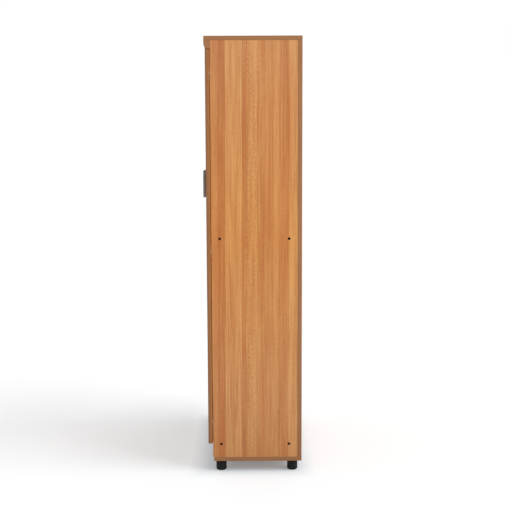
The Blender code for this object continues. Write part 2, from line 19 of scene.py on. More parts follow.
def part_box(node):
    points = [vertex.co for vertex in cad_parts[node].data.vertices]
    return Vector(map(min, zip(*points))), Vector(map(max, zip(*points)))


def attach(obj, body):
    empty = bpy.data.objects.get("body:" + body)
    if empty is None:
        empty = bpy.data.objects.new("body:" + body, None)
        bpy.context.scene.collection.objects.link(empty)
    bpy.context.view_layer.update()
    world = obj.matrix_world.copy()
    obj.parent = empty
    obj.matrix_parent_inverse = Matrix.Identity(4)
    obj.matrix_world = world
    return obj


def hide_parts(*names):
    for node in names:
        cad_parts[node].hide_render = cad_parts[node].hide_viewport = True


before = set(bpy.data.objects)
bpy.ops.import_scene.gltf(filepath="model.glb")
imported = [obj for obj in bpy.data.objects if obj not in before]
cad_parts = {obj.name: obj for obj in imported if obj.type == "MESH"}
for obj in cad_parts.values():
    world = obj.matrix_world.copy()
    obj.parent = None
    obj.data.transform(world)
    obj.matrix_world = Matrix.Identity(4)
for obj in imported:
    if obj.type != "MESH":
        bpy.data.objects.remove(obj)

LOG = logging.getLogger("wardrobe")
GRAIN = "board_grain"
FACING = "facing"
CASE = "case"
WELD = 1e-6
REARWARD = Vector((0.0, 1.0, 0.0))

# The range that holds most values of a noise, and the one that holds nearly all.
NOISE_MOST = (0.3, 0.7)
NOISE_WIDE = (0.25, 0.75)

Pair = tuple[float, float]
Triple = tuple[float, float, float]
Colour = Triple
Profile = Sequence[Pair]
Spots = Sequence[tuple[Vector, Vector]]
Socket = bpy.types.NodeSocket
Sockets = bpy.types.bpy_prop_collection
Source = Union[Socket, float, Sequence[float]]
Feeds = Mapping[Union[int, str], Union[Source, list[Socket]]]


class Axis(Enum):
    """The three directions of the frame, by their place in a vector."""

    X = 0
    Y = 1
    Z = 2


class Edge(Enum):
    """The six sides of a board's box, each an axis and a direction on it."""

    LEFT = (0, -1)
    RIGHT = (0, 1)
    FRONT = (1, -1)
    REAR = (1, 1)
    BELOW = (2, -1)
    ABOVE = (2, 1)


class Covering(Enum):
    """What covers a face of a board, by its material slot."""

    LAMINATE = 0
    BAND = 1
    CORE = 2


class Drive(Enum):
    """The recess in a screw head."""

    HEX = "hex"
    CROSS = "cross"


class Side(Enum):
    """The two sides of the wardrobe, seen from its front."""

    LEFT = -1
    RIGHT = 1

    @property
    def word(self) -> str:
        """The side's name as the frame's nodes write it."""
        return self.name.lower()

    @property
    def door(self) -> str:
        """The body of the door on this side."""
        return f"door_{self.word}"


@dataclass(frozen=True)
class Layer:
    """One layer of noise, and the range that its values are moved onto.

    The stretch is how many times a metre it changes along each axis, and the
    detail is how many finer layers it has.
    """

    stretch: Triple
    detail: float = 2.0
    span: Pair = NOISE_MOST
    onto: Pair = (0.0, 1.0)


class NodeBench:
    """Sets out and joins the nodes of one tree."""

    def __init__(self, tree: bpy.types.NodeTree) -> None:
        """Keep the tree that is worked on."""
        self.tree = tree

    def fill(self, node: bpy.types.Node, feeds: Feeds) -> None:
        """Feed some inputs of a node.

        Args:
            node: The node.
            feeds: For each input an output, a list of outputs or a plain value.
        """
        for key, source in feeds.items():
            for one in source if isinstance(source, list) else [source]:
                if isinstance(one, Socket):
                    self.tree.links.new(one, node.inputs[key])
                else:
                    node.inputs[key].default_value = one

    def add(self, kind: str, feeds: Feeds, **settings: object) -> Sockets:
        """Add one node.

        Args:
            kind: The node's type name.
            feeds: What feeds its inputs.
            settings: Properties that are set on it first.

        Returns:
            Its outputs.
        """
        node = self.tree.nodes.new(kind)
        for name, value in settings.items():
            setattr(node, name, value)
        self.fill(node, feeds)
        return node.outputs

    def math(self, operation: str, first: Source, *others: Source) -> Socket:
        """Arithmetic on one value, or on several from left to right.

        Args:
            operation: The name of the operation.
            first: The first value.
            others: The values that follow.

        Returns:
            The result's socket.
        """
        for other in others or (0.0,):
            first = self.add("ShaderNodeMath", {0: first, 1: other}, operation=operation)[0]
        return first

    def spread(self, value: Source, span: Pair, onto: Pair = (0.0, 1.0)) -> Socket:
        """A value, moved from one range onto another, with the ends held."""
        return self.add("ShaderNodeMapRange", dict(enumerate((value, *span, *onto))))[0]

    def noise(self, place: Socket, layer: Layer) -> Socket:
        """A noise that is stretched along the axes.

        Args:
            place: The coordinates it lies in.
            layer: Its stretch and its detail.

        Returns:
            The socket of its strength, about 0 to 1.
        """
        place = self.add("ShaderNodeMapping", {"Vector": place, "Scale": layer.stretch})[0]
        feeds = {"Vector": place, "Scale": 1.0, "Detail": layer.detail}
        return self.add("ShaderNodeTexNoise", feeds)["Fac"]

    def moved(self, noise: Socket, layer: Layer) -> Socket:
        """A noise, moved onto its layer's own range."""
        return self.spread(noise, layer.span, layer.onto)

    def layer(self, place: Socket, layer: Layer) -> Socket:
        """A new noise, moved onto its layer's own range."""
        return self.moved(self.noise(place, layer), layer)

    def ramp(self, factor: Socket, stops: Sequence[Pair]) -> Socket:
        """A row of grey values along 0 to 1.

        Args:
            factor: The place along the row.
            stops: Pairs of place and value.

        Returns:
            The socket of the value found there.
        """
        node = self.tree.nodes.new("ShaderNodeValToRGB")
        row = node.color_ramp.elements
        for place, _ in stops[2:]:
            row.new(place)
        for element, (place, value) in zip(row, stops):
            element.position = place
            element.color = (value, value, value, 1.0)
        self.fill(node, {0: factor})
        return node.outputs[0]

    def blend(self, factor: Source, first: Source, second: Source) -> Socket:
        """A mix of two colours, with the factor as the second one's share."""
        pair = [(*one, 1.0) if isinstance(one, tuple) else one for one in (first, second)]
        return self.add("ShaderNodeMix", {0: factor, 6: pair[0], 7: pair[1]}, data_type="RGBA")[2]

    def bump(self, height: Socket, relief: Pair) -> Socket:
        """A small relief, by its strength and its full depth in metres."""
        strength, depth = relief
        return self.add("ShaderNodeBump", {"Strength": strength, "Distance": depth, "Height": height})[0]

    def grain(self) -> Socket:
        """The board's own coordinates: across, along and through."""
        return self.add("ShaderNodeAttribute", {}, attribute_name=GRAIN)["Vector"]

    def place(self) -> Socket:
        """The piece's Object coordinates."""
        return self.add("ShaderNodeTexCoord", {})["Object"]

    def parts(self, vector: Socket) -> list[Socket]:
        """The three parts of a vector."""
        return list(self.add("ShaderNodeSeparateXYZ", {0: vector}))


class Finish:
    """A surface that is made once, from nodes, and then shared."""

    name: str
    rough: Pair
    relief: Pair

    def material(self) -> bpy.types.Material:
        """Make the material, or find it where it is already made.

        Returns:
            The material with its nodes joined.
        """
        made = bpy.data.materials.get(self.name)
        if made is None:
            made = bpy.data.materials.new(self.name)
            made.use_nodes = True
            bench = NodeBench(made.node_tree)
            bench.fill(made.node_tree.nodes["Principled BSDF"], self.look(bench))
        return made

    def look(self, bench: NodeBench) -> Feeds:
        """What feeds the shader."""
        raise NotImplementedError

    def coat(self, bench: NodeBench, colour: Socket, grit: Socket, height: Socket) -> Feeds:
        """A colour with a roughness and a relief.

        Args:
            bench: Where the nodes are set out.
            colour: The colour.
            grit: The noise that the roughness follows.
            height: The noise that the relief follows.

        Returns:
            What feeds the shader.
        """
        return {
            "Base Color": colour,
            "Roughness": bench.spread(grit, NOISE_MOST, self.rough),
            "Normal": bench.bump(height, self.relief),
        }


@dataclass(frozen=True)
class WoodLaminate(Finish):
    """Printed wood decor of staves side by side, under a satin sheet, with a painted haze of light that
    makes it duller and paler in broad bands along each board.
    """

    name: str = "decor_laminate"
    dark: Colour = (0.480, 0.152, 0.0315)
    light: Colour = (0.700, 0.330, 0.0925)
    ruddy: Colour = (0.610, 0.190, 0.050)
    # Duller, paler tones of the decor: painted haze of the light near the floor.
    dark_painted_haze: Colour = (0.472, 0.160, 0.048)
    light_painted_haze: Colour = (0.695, 0.345, 0.126)
    pore: Colour = (0.270, 0.090, 0.025)
    tones: Pair = (0.78, 1.25)
    repeat: float = 0.3745
    joint: float = 0.002
    # Where each stave starts across the print, and its tone at either side.
    staves: tuple[Triple, ...] = (
        (0.000, 0.95, 0.95),
        (0.069, 0.87, 0.82),
        (0.162, 1.11, 1.03),
        (0.266, 1.02, 1.16),
        (0.353, 0.87, 0.93),
        (0.417, 1.03, 1.09),
        (0.523, 0.99, 0.91),
        (0.622, 1.02, 0.99),
        (0.717, 1.12, 1.12),
        (0.775, 0.95, 0.98),
        (0.824, 0.89, 0.95),
        (0.899, 1.19, 1.13),
        (0.954, 1.06, 1.03),
    )
    streak: Layer = Layer((150.0, 3.0, 40.0), 3.0, NOISE_WIDE, (-0.145, 0.145))
    fine: Layer = Layer((820.0, 11.0, 300.0), 2.0, NOISE_WIDE, (-0.12, 0.12))
    cloud: Layer = Layer((16.0, 2.4, 4.0), 2.0, NOISE_WIDE, (-0.10, 0.10))
    mottle: Layer = Layer((280.0, 120.0, 90.0), 1.0, NOISE_WIDE, (-0.06, 0.06))
    warmth: Layer = Layer((38.0, 1.1, 12.0), 2.0, (0.45, 0.75), (0.0, 0.26))
    pores: Layer = Layer((2100.0, 46.0, 900.0), 1.0, (0.62, 0.70))
    pore_share: float = 0.30
    heart: Pair = (0.410, 0.526)
    fleck: Layer = Layer((230.0, 85.0, 60.0), 1.0, (0.42, 0.68), (-0.3, 1.0))
    patch: Layer = Layer((60.0, 4.0, 20.0), 1.0, (0.35, 0.62), (0.25, 1.0))
    fleck_share: float = 0.20
    arch: Pair = (0.162, 0.353)
    arch_rings: float = 2.2
    arch_bow: float = 2.4
    arch_limit: float = 0.99
    arch_share: float = 0.05
    wander: Layer = Layer((30.0, 1.5, 10.0))
    # How often the painted haze repeats along a board, and where along it the haze is gone and where it is
    # full.
    painted_haze_repeat: float = 1.03
    painted_haze_span: Pair = (0.95, 0.30)
    rough: Pair = (0.42, 0.52)
    relief: Pair = (0.12, 0.0002)
    shine: float = 0.35

    def stops(self) -> list[Pair]:
        """The row of tones, two stops for each stave.

        Returns:
            Pairs of place and tone, in order.
        """
        ends = [start for start, _, _ in self.staves[1:]] + [1.0 + self.joint]
        row = []
        for (start, first, last), end in zip(self.staves, ends):
            row.append((start, first))
            row.append((end - self.joint, last))
        return row

    def marks(self, bench: NodeBench, grain: Socket, place: Socket) -> list[Socket]:
        """The long arched rings of the broad stave, and the pale flecks of the heart stave.

        Args:
            bench: Where the nodes are set out.
            grain: The board's own coordinates.
            place: The place across the staves, 0 to 1.

        Returns:
            The sockets of their shares, each 0 beside its own stave.
        """
        off = bench.spread(place, self.arch, (-1.0, 1.0))
        bow = bench.math("MULTIPLY", off, off)
        height = bench.math("MULTIPLY", bench.parts(grain)[1], self.arch_rings)
        height = bench.math("ADD", height, bench.noise(grain, self.wander))
        height = bench.math("SUBTRACT", height, bench.math("MULTIPLY", bow, self.arch_bow))
        ring = bench.math("SINE", bench.math("MULTIPLY", height, math.tau))
        inside = bench.math("LESS_THAN", bow, self.arch_limit)
        arches = bench.math("MULTIPLY", ring, inside, self.arch_share)
        fleck, patch = bench.layer(grain, self.fleck), bench.layer(grain, self.patch)
        after = bench.math("GREATER_THAN", place, self.heart[0])
        before = bench.math("LESS_THAN", place, self.heart[1])
        return [arches, bench.math("MULTIPLY", fleck, patch, after, before, self.fleck_share)]

    def look(self, bench: NodeBench) -> Feeds:
        """The decor, its pores and its satin sheen.

        Args:
            bench: Where the nodes are set out.

        Returns:
            What feeds the shader.
        """
        grain = bench.grain()
        across, along, _ = bench.parts(grain)
        place = bench.math("DIVIDE", bench.math("PINGPONG", across, self.repeat), self.repeat)
        fine = bench.noise(grain, self.fine)
        pores = bench.layer(grain, self.pores)
        shares = (
            bench.layer(grain, self.streak),
            bench.moved(fine, self.fine),
            bench.layer(grain, self.cloud),
            bench.layer(grain, self.mottle),
            *self.marks(bench, grain, place),
        )
        tone = bench.math("ADD", bench.ramp(place, self.stops()), *shares)
        factor = bench.spread(tone, self.tones)
        # Painted haze of light: the decor turns duller and paler in broad bands along the board.
        painted_haze = bench.spread(bench.math("PINGPONG", along, self.painted_haze_repeat), self.painted_haze_span)
        clear_decor = bench.blend(factor, self.dark, self.light)
        hazed_decor = bench.blend(factor, self.dark_painted_haze, self.light_painted_haze)
        colour = bench.blend(painted_haze, clear_decor, hazed_decor)
        colour = bench.blend(bench.layer(grain, self.warmth), colour, self.ruddy)
        colour = bench.blend(bench.math("MULTIPLY", pores, self.pore_share), colour, self.pore)
        coat = self.coat(bench, colour, fine, bench.math("SUBTRACT", fine, pores))
        return {**coat, "Specular IOR Level": self.shine}


@dataclass(frozen=True)
class EdgeBand(Finish):
    """Edge banding with fine lines along it.

    A plain band has one tone, because its tone behind is the same as in front and its
    wrap lies past any board's thickness. On a door the tone changes through the
    thickness, and much of that change is painted light and shade: a darker front that
    is partly the band's own tone and partly painted shade on the rounding, then a
    saturated orange that is painted bounce light from the gap, and a light rear that is
    partly the decor sheet carried round the edge and partly painted light in the gap.
    """

    name: str = "edge_band"
    colour: Colour = (0.400, 0.181, 0.072)
    line: Colour = (0.285, 0.119, 0.0435)
    # The tone towards the back; on a door, a saturated orange that is painted bounce light from the gap.
    behind: Colour = (0.400, 0.181, 0.072)
    turn: Pair = (0.0, 1.0)
    # The rear tone; on a door, partly the decor sheet carried round the edge and partly painted light
    # inside the gap.
    wrap: Colour = (0.700, 0.300, 0.085)
    wrap_and_gap_light_from: Pair = (1.0, 2.0)
    lines: Layer = Layer((2.5, 2.5, 620.0), 3.0, onto=(0.0, 0.7))
    worn: Layer = Layer((14.0, 14.0, 90.0), onto=(0.0, 0.3))
    rough: Pair = (0.42, 0.56)
    relief: Pair = (0.15, 0.0002)
    shine: float = 0.35

    def look(self, bench: NodeBench) -> Feeds:
        """The lines and the sheen of the band.

        Args:
            bench: Where the nodes are set out.

        Returns:
            What feeds the shader.
        """
        grain = bench.grain()
        through = bench.parts(grain)[2]
        lines = bench.noise(grain, self.lines)
        worn = bench.noise(grain, self.worn)
        factor = bench.math("ADD", bench.moved(lines, self.lines), bench.moved(worn, self.worn))
        # Front tone, tone behind, then the rear tone; on a door these carry painted shade and painted
        # light of the gap.
        colour = bench.blend(bench.spread(through, self.turn), self.colour, self.behind)
        colour = bench.blend(factor, colour, self.line)
        colour = bench.blend(bench.spread(through, self.wrap_and_gap_light_from), colour, self.wrap)
        return {**self.coat(bench, colour, worn, lines), "Specular IOR Level": self.shine}


@dataclass(frozen=True)
class ChipCore(Finish):
    """The raw chips of the board where it is cut or drilled."""

    name: str = "chip_core"
    pale: Colour = (0.560, 0.390, 0.220)
    brown: Colour = (0.270, 0.150, 0.070)
    chips: Layer = Layer((420.0, 260.0, 900.0), 4.0, (0.35, 0.65))
    relief: Pair = (0.4, 0.0005)
    matt: float = 0.85

    def look(self, bench: NodeBench) -> Feeds:
        """The chips, dull all over.

        Args:
            bench: Where the nodes are set out.

        Returns:
            What feeds the shader.
        """
        chips = bench.noise(bench.grain(), self.chips)
        return {
            "Base Color": bench.blend(bench.moved(chips, self.chips), self.pale, self.brown),
            "Normal": bench.bump(chips, self.relief),
            "Roughness": self.matt,
        }


@dataclass(frozen=True)
class Speckled(Finish):
    """A surface of two close tones in clouds, with a fine relief."""

    name: str
    colour: Colour
    tint: Colour
    rough: Pair
    speck: Layer
    clouds: Layer
    relief: Pair

    def look(self, bench: NodeBench) -> Feeds:
        """The clouds and the fine relief.

        Args:
            bench: Where the nodes are set out.

        Returns:
            What feeds the shader.
        """
        place = bench.place()
        speck = bench.noise(place, self.speck)
        colour = bench.blend(bench.layer(place, self.clouds), self.colour, self.tint)
        return self.coat(bench, colour, speck, speck)


@dataclass(frozen=True)
class PlatedMetal(Speckled):
    """Metal with a plated, slightly cloudy and finely scratched face."""

    rough: Pair = (0.24, 0.38)
    speck: Layer = Layer((900.0, 900.0, 900.0))
    clouds: Layer = Layer((70.0, 70.0, 70.0), 3.0)
    relief: Pair = (0.06, 0.0001)
    metallic: float = 1.0

    def look(self, bench: NodeBench) -> Feeds:
        """The plating, with its metal."""
        return {**super().look(bench), "Metallic": self.metallic}


@dataclass(frozen=True)
class MouldedPlastic(Speckled):
    """Moulded plastic with a fine spark-eroded grain."""

    speck: Layer = Layer((1600.0, 1600.0, 1600.0))
    clouds: Layer = Layer((45.0, 45.0, 45.0))
    relief: Pair = (0.2, 0.0001)
    clear: float = 0.0
    shine: float = 0.5

    def look(self, bench: NodeBench) -> Feeds:
        """The moulding, with its clearness and its shine."""
        plain = {"Transmission Weight": self.clear, "Specular IOR Level": self.shine}
        return {**super().look(bench), **plain}


LAMINATE = WoodLaminate()
BAND = EdgeBand()
# Door edges: a darker front, partly the band's own tone and partly painted shade on the rounding, a
# saturated painted bounce light behind it, and a light rear that is partly painted light in the gap.
DOOR_BAND = EdgeBand(
    "door_edge_band",
    colour=(0.265, 0.128, 0.058),
    line=(0.270, 0.105, 0.036),
    behind=(0.400, 0.155, 0.036),
    turn=(0.002, 0.014),
    wrap_and_gap_light_from=(0.0155, 0.0180),
)
# The front edges of the side panels and the divider sit in the shaded gap behind the doors; this band is
# coloured far lighter than the other bands as painted light in that gap.
FRONT_BAND_PAINTED_LIGHT = EdgeBand(
    "front_edge_band",
    colour=(0.620, 0.262, 0.082),
    line=(0.540, 0.205, 0.057),
    behind=(0.620, 0.262, 0.082),
)
CORE = ChipCore()
ZINC = PlatedMetal("zinc_plate", (0.60, 0.60, 0.61), (0.50, 0.51, 0.53))
CHROME = PlatedMetal(
    "rail_chrome",
    colour=(0.66, 0.66, 0.67),
    tint=(0.58, 0.58, 0.59),
    speck=Layer((12.0, 900.0, 900.0)),
    rough=(0.16, 0.26),
)
NICKEL = PlatedMetal(
    "brushed_bar",
    colour=(0.225, 0.236, 0.254),
    tint=(0.187, 0.196, 0.211),
    speck=Layer((1500.0, 1500.0, 25.0)),
    rough=(0.46, 0.58),
    metallic=0.3,
)
BRONZE = PlatedMetal("blackened_screw", (0.020, 0.014, 0.012), (0.012, 0.008, 0.007), rough=(0.45, 0.6))
BLACK = MouldedPlastic(
    "moulded_black", (0.0055, 0.0055, 0.0062), (0.0085, 0.0085, 0.0092), rough=(0.46, 0.60), shine=0.18)
CLEAR = MouldedPlastic(
    "clear_bumper", (0.80, 0.80, 0.77), (0.72, 0.72, 0.68), rough=(0.22, 0.36), clear=0.5)


def rolled(radius: float, steps: int) -> list[Pair]:
    """Pairs of the distance out and up, along a quarter circle from its bottom to its side."""
    turns = [math.pi / 2 * step / steps for step in range(steps + 1)]
    return [(radius * math.sin(turn), radius * (1.0 - math.cos(turn))) for turn in turns]


def turned(bm: bmesh.types.BMesh, profile: Profile, place: Matrix, steps: int) -> None:
    """Add a turned form to a mesh.

    Args:
        bm: The mesh to add to.
        profile: Pairs of radius and distance along the axis.
        place: Sets the form's own Z axis where it belongs.
        steps: How many sides it has.
    """
    rings = []
    for radius, along in profile:
        ring = []
        for step in range(steps if radius else 1):
            turn = math.tau * step / steps
            point = Vector((radius * math.cos(turn), radius * math.sin(turn), along))
            ring.append(bm.verts.new(place @ point))
        rings.append(ring)
    for low, high in zip(rings, rings[1:]):
        for step in range(steps):
            after = step + 1
            corners = [low[step % len(low)], low[after % len(low)]]
            corners += [high[after % len(high)], high[step % len(high)]]
            bm.faces.new(list(dict.fromkeys(corners)))


def linked(name: str, data: bpy.types.ID) -> bpy.types.Object:
    """Make a new object of the scene.

    Args:
        name: The object's name.
        data: Its mesh, light or camera.

    Returns:
        The object, at the origin.
    """
    made = bpy.data.objects.new(name, data)
    bpy.context.scene.collection.objects.link(made)
    return made


def smooth(mesh: bpy.types.Mesh, crease: float) -> None:
    """Shade a mesh smooth, with edges past the crease angle in degrees left sharp."""
    mesh.shade_smooth()
    mesh.set_sharp_from_angle(angle=math.radians(crease))


def as_piece(
    bm: bmesh.types.BMesh, name: str, materials: Iterable[bpy.types.Material], crease: float = 35.0
) -> bpy.types.Object:
    """Make a mesh an object of the scene.

    Args:
        bm: The finished mesh, which is freed.
        name: The object's name.
        materials: Its materials, in slot order.
        crease: The angle in degrees past which an edge stays sharp.

    Returns:
        The object, at the origin.
    """
    mesh = bpy.data.meshes.new(name)
    bm.to_mesh(mesh)
    bm.free()
    for material in materials:
        mesh.materials.append(material)
    smooth(mesh, crease)
    return linked(name, mesh)


def freeze(piece: bpy.types.Object) -> None:
    """Make what a piece's modifiers give its plain mesh.

    Args:
        piece: The object with modifiers.
    """
    graph = bpy.context.evaluated_depsgraph_get()
    made = bpy.data.meshes.new_from_object(piece.evaluated_get(graph))
    piece.modifiers.clear()
    piece.data = made
    made.name = piece.name


def mount(piece: bpy.types.Object, body: str, nodes: Sequence[str] = ()) -> None:
    """Set a piece on its body and report it.

    Args:
        piece: The finished piece.
        body: The body that it moves with.
        nodes: The frame's nodes that it stands for.
    """
    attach(piece, body)
    if nodes:
        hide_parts(*nodes)
    LOG.info("%s rides on %s with %d faces", piece.name, body, len(piece.data.polygons))


def dress_node(name: str, finish: Finish) -> None:
    """Give a node of the frame a better finish.

    Args:
        name: The node.
        finish: Its finish.
    """
    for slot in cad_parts[name].material_slots:
        slot.material = finish.material()
    LOG.info("%s keeps its shape and is dressed in %s", name, finish.name)


def middle(node: str) -> Vector:
    """The middle of a node's box."""
    low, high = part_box(node)
    return (low + high) / 2


class FormBench(NodeBench):
    """Sets out the nodes of a geometry tree."""

    def together(self, *forms: Socket) -> Socket:
        """Several forms as one geometry."""
        return self.add("GeometryNodeJoinGeometry", {0: list(forms)})[0]

    def combined(self, operation: str, feeds: Feeds) -> Socket:
        """Solid forms, joined into one or cut from another."""
        return self.add("GeometryNodeMeshBoolean", feeds, operation=operation, solver="EXACT")["Mesh"]

    def lifted(self, form: Socket, lift: Source) -> Socket:
        """A form, moved along its axis."""
        offset = self.add("ShaderNodeCombineXYZ", {"Z": lift})[0]
        return self.add("GeometryNodeTransform", {"Geometry": form, "Translation": offset})[0]

    def drum(self, sides: int, radius: Source, depth: Source, lift: Source) -> Socket:
        """A round or many-sided drum on the form's axis, with its middle lifted."""
        feeds = {"Vertices": sides, "Radius": radius, "Depth": depth}
        return self.lifted(self.add("GeometryNodeMeshCylinder", feeds)["Mesh"], lift)


class Fixing:
    """A small form that a geometry-node tree of its own sets out on points."""

    name: str
    seed: int
    crease: float = 30.0

    def sizes(self) -> dict[str, float]:
        """The tree's named inputs and their sizes."""
        raise NotImplementedError

    def form(self, bench: FormBench, size: Sockets) -> Socket:
        """The form itself, with its Z axis pointing out."""
        raise NotImplementedError

    @staticmethod
    def turn(bench: FormBench, seed: Socket) -> Socket:
        """Face a form out, and spin it by chance about its own axis.

        Args:
            bench: The tree's bench.
            seed: The seed of that chance.

        Returns:
            The rotation's socket.
        """
        facing = bench.add("GeometryNodeInputNamedAttribute", {"Name": FACING}, data_type="FLOAT_VECTOR")
        align = bench.add("FunctionNodeAlignRotationToVector", {"Vector": facing["Attribute"]}, axis="Z")
        chance = bench.add("FunctionNodeRandomValue", {3: math.tau, "Seed": seed}, data_type="FLOAT")
        spin = bench.add("FunctionNodeAxisAngleToRotation", {"Angle": chance[1]})
        both = {0: align[0], 1: spin[0]}
        return bench.add("FunctionNodeRotateRotation", both, rotation_space="LOCAL")[0]

    def tree(self) -> bpy.types.NodeTree:
        """The geometry-node tree, with its sizes, seed and finish as inputs.

        Returns:
            The tree, made once.
        """
        tree = bpy.data.node_groups.get(self.name)
        if tree is None:
            tree = bpy.data.node_groups.new(self.name, "GeometryNodeTree")
            sizes = dict.fromkeys(self.sizes(), "Float")
            for word, kind in {"Points": "Geometry", **sizes, "Seed": "Int", "Finish": "Material"}.items():
                tree.interface.new_socket(word, in_out="INPUT", socket_type=f"NodeSocket{kind}")
            tree.interface.new_socket("Fixings", in_out="OUTPUT", socket_type="NodeSocketGeometry")
            bench = FormBench(tree)
            given = bench.add("NodeGroupInput", {})
            feeds = {
                "Points": given["Points"],
                "Instance": self.form(bench, given),
                "Rotation": self.turn(bench, given["Seed"]),
            }
            repeat = bench.add("GeometryNodeInstanceOnPoints", feeds)[0]
            real = bench.add("GeometryNodeRealizeInstances", {0: repeat})[0]
            feeds = {"Geometry": real, "Material": given["Finish"]}
            bench.add("NodeGroupOutput", {0: bench.add("GeometryNodeSetMaterial", feeds)[0]})
        return tree


@dataclass(frozen=True)
class ScrewKind(Fixing):
    """One kind of screw: a round head with a recess, and its shank."""

    name: str
    drive: Drive
    radius: float
    height: float
    recess: float
    depth: float
    shank: float
    length: float
    seed: int
    sides: int = 28
    shank_sides: int = 16
    # Steps of the head: a share of its height, and how far it narrows there.
    crown: tuple[Pair, ...] = ((0.60, 1.0), (0.26, 0.94), (0.14, 0.80))
    bar_share: float = 0.42

    def sizes(self) -> dict[str, float]:
        """The tree's named inputs.

        Returns:
            Their sizes in metres, by name.
        """
        return {
            "Head Radius": self.radius,
            "Head Height": self.height,
            "Recess Radius": self.recess,
            "Recess Depth": self.depth,
            "Shank Radius": self.shank,
            "Shank Length": self.length,
        }

    def form(self, bench: FormBench, size: Sockets) -> Socket:
        """The whole screw.

        Args:
            bench: The tree's bench.
            size: The tree's named inputs.

        Returns:
            The screw's geometry.
        """
        feeds = {"Mesh 1": self.head(bench, size), "Mesh 2": self.tool(bench, size)}
        head = bench.combined("DIFFERENCE", feeds)
        lift = bench.math("MULTIPLY", size["Shank Length"], -0.5)
        shank = bench.drum(self.shank_sides, size["Shank Radius"], size["Shank Length"], lift)
        return bench.together(head, shank)

    def head(self, bench: FormBench, size: Sockets) -> Socket:
        """The head: a disc drawn up in steps, each narrower than the last.

        Args:
            bench: The tree's bench.
            size: The tree's named inputs.

        Returns:
            The closed head's geometry.
        """
        feeds = {"Vertices": self.sides, "Radius": size["Head Radius"]}
        disc = bench.add("GeometryNodeMeshCircle", feeds, fill_type="NGON")["Mesh"]
        form = disc
        for share, narrow in self.crown:
            up = bench.math("MULTIPLY", size["Head Height"], share)
            drawn = bench.add("GeometryNodeExtrudeMesh", {"Mesh": form, "Offset Scale": up}, mode="FACES")
            feeds = {"Geometry": drawn["Mesh"], "Selection": drawn["Top"], "Scale": narrow}
            form = bench.add("GeometryNodeScaleElements", feeds, domain="FACE")["Geometry"]
        under = bench.add("GeometryNodeFlipFaces", {"Mesh": disc})["Mesh"]
        feeds = {"Geometry": bench.together(form, under), "Distance": WELD}
        return bench.add("GeometryNodeMergeByDistance", feeds)["Geometry"]

    def tool(self, bench: FormBench, size: Sockets) -> Socket:
        """The form that cuts the recess.

        Args:
            bench: The tree's bench.
            size: The tree's named inputs.

        Returns:
            The cutting form's geometry.
        """
        deep = bench.math("MULTIPLY", size["Recess Depth"], 2.0)
        if self.drive is Drive.HEX:
            return bench.drum(6, size["Recess Radius"], deep, size["Head Height"])
        long = bench.math("MULTIPLY", size["Recess Radius"], 2.0)
        thin = bench.math("MULTIPLY", size["Recess Radius"], self.bar_share)
        bars = []
        for across, up in ((long, thin), (thin, long)):
            measure = bench.add("ShaderNodeCombineXYZ", {"X": across, "Y": up, "Z": deep})[0]
            bar = bench.add("GeometryNodeMeshCube", {"Size": measure})["Mesh"]
            bars.append(bench.lifted(bar, size["Head Height"]))
        return bench.combined("UNION", {"Mesh 2": bars})


@dataclass(frozen=True)
class PinKind(Fixing):
    """A shelf pin: a round pin with a collar against the board and a blunt tip."""

    name: str
    radius: float
    reach: float
    buried: float
    collar: float
    collar_thick: float
    seed: int
    sides: int = 24
    collar_sides: int = 28
    tip_length: float = 0.35
    tip_radius: float = 0.7

    def sizes(self) -> dict[str, float]:
        """The tree's named inputs.

        Returns:
            Their sizes in metres, by name.
        """
        return {
            "Pin Radius": self.radius,
            "Pin Reach": self.reach,
            "Buried Length": self.buried,
            "Collar Radius": self.collar,
            "Collar Thickness": self.collar_thick,
        }

    def form(self, bench: FormBench, size: Sockets) -> Socket:
        """The whole pin.

        Args:
            bench: The tree's bench.
            size: The tree's named inputs.

        Returns:
            The pin's geometry.
        """
        tip = bench.math("MULTIPLY", size["Pin Radius"], self.tip_length)
        straight = bench.math("SUBTRACT", size["Pin Reach"], tip)
        whole = bench.math("ADD", straight, size["Buried Length"])
        lift = bench.math("MULTIPLY", bench.math("SUBTRACT", straight, size["Buried Length"]), 0.5)
        pin = bench.drum(self.sides, size["Pin Radius"], whole, lift)
        half = bench.math("MULTIPLY", size["Collar Thickness"], 0.5)
        collar = bench.drum(self.collar_sides, size["Collar Radius"], size["Collar Thickness"], half)
        feeds = {
            "Vertices": self.sides,
            "Radius Bottom": size["Pin Radius"],
            "Radius Top": bench.math("MULTIPLY", size["Pin Radius"], self.tip_radius),
            "Depth": tip,
        }
        cone = bench.add("GeometryNodeMeshCone", feeds)["Mesh"]
        return bench.together(pin, collar, bench.lifted(cone, straight))


def set_out(name: str, kind: Fixing, finish: Finish, spots: Spots) -> bpy.types.Object:
    """Set a kind of fixing out on points, as one plain mesh.

    Args:
        name: The piece's name.
        kind: The kind of fixing.
        finish: Its finish.
        spots: Pairs of place and the way that the fixing faces.

    Returns:
        The piece, at the origin.
    """
    mesh = bpy.data.meshes.new(name)
    mesh.from_pydata([tuple(place) for place, _ in spots], [], [])
    facing = mesh.attributes.new(FACING, "FLOAT_VECTOR", "POINT")
    for item, (_, way) in zip(facing.data, spots):
        item.vector = way
    piece = linked(name, mesh)
    modifier = piece.modifiers.new(kind.name, "NODES")
    modifier.node_group = kind.tree()
    values = {**kind.sizes(), "Seed": kind.seed, "Finish": finish.material()}
    for item in modifier.node_group.interface.items_tree:
        if item.name in values:
            modifier[item.identifier] = values[item.name]
    freeze(piece)
    smooth(piece.data, kind.crease)
    return piece


